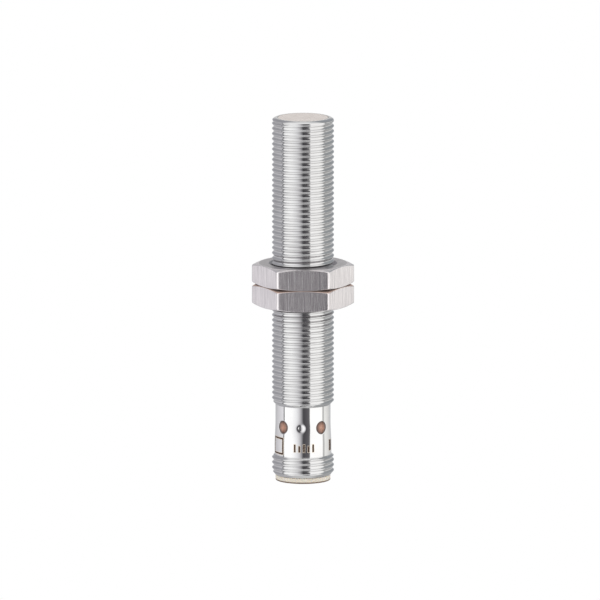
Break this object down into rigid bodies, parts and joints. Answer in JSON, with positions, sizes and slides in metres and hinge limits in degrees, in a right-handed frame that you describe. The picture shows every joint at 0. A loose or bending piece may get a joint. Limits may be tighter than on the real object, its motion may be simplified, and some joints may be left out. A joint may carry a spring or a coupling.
{
  "type": "proximity sensor",
  "caption": "Cylindrical inductive proximity sensor: threaded metal barrel, flush plastic sensing face, amber indicator windows, male plug connector and hexagonal mounting nuts.",
  "frame": {"origin": "centre of the connector end's ring, the face that the sensor stands on", "axes": "+Z along the barrel's axis, from the plug connector up to the sensing face; -Y is the front, where the setting dimple is"},
  "size_m": [0.0196, 0.017, 0.07],
  "materials": {
    "plated_metal": "bright nickel plating on brass, turned thread and polished smooth section",
    "nut_metal": "nickel plated brass, satin with fine upright drawing lines",
    "face_plastic": "warm light grey moulded plastic, slightly satin",
    "connector_plastic": "cream moulded plastic, satin",
    "window_amber": "smoky amber translucent plastic, glossy",
    "contact_gold": "gold plated contact brass, polished",
    "ferrite": "sintered ferrite, dull dark grey",
    "copper": "bare or enamelled copper, bright",
    "black_plastic": "black moulded component plastic",
    "component_tan": "tan ceramic component body with tinned ends",
    "board_green": "glass epoxy board with green solder mask",
    "led_clear": "yellow light-emitting diode body, glossy",
    "seal_rubber": "black nitrile rubber",
    "potting_resin": "dark cast resin",
    "wire_cover": "thin coloured wire insulation"
  },
  "bodies": {
    "sensor": {"barrel": "plated_metal", "sensing_cap": "face_plastic", "contact_carrier": "connector_plastic", "window_1": "window_amber", "window_2": "window_amber", "window_3": "window_amber", "window_4": "window_amber", "contact_pin_1": "contact_gold", "contact_pin_2": "contact_gold", "contact_pin_3": "contact_gold", "contact_pin_4": "contact_gold", "ferrite_core": "ferrite", "coil_winding": "copper", "coil_lead_1": "copper", "coil_lead_2": "copper", "shield_ring": "copper", "coil_bobbin": "black_plastic", "coil_holder": "black_plastic", "sensor_chip": "black_plastic", "output_transistor": "black_plastic", "surge_diode": "black_plastic", "resistor_1": "black_plastic", "resistor_2": "black_plastic", "resistor_3": "black_plastic", "polarity_diode": "component_tan", "capacitor_1": "component_tan", "capacitor_2": "component_tan", "capacitor_3": "component_tan", "circuit_board": "board_green", "indicator_board": "board_green", "led_1": "led_clear", "led_2": "led_clear", "led_3": "led_clear", "led_4": "led_clear", "carrier_seal": "seal_rubber", "potting": "potting_resin", "supply_wire": "wire_cover", "ground_wire": "wire_cover", "output_wire": "wire_cover"},
    "upper_nut": {"nut_upper": "nut_metal"},
    "lower_nut": {"nut_lower": "nut_metal"}
  },
  "joints": [
    {"name": "upper_nut_travel", "type": "slide", "parent": "sensor", "child": "upper_nut", "axis": [0, 0, 1], "range_m": [0, 0.027]},
    {"name": "lower_nut_travel", "type": "slide", "parent": "sensor", "child": "lower_nut", "axis": [0, 0, 1], "range_m": [-0.018, 0]}
  ]
}
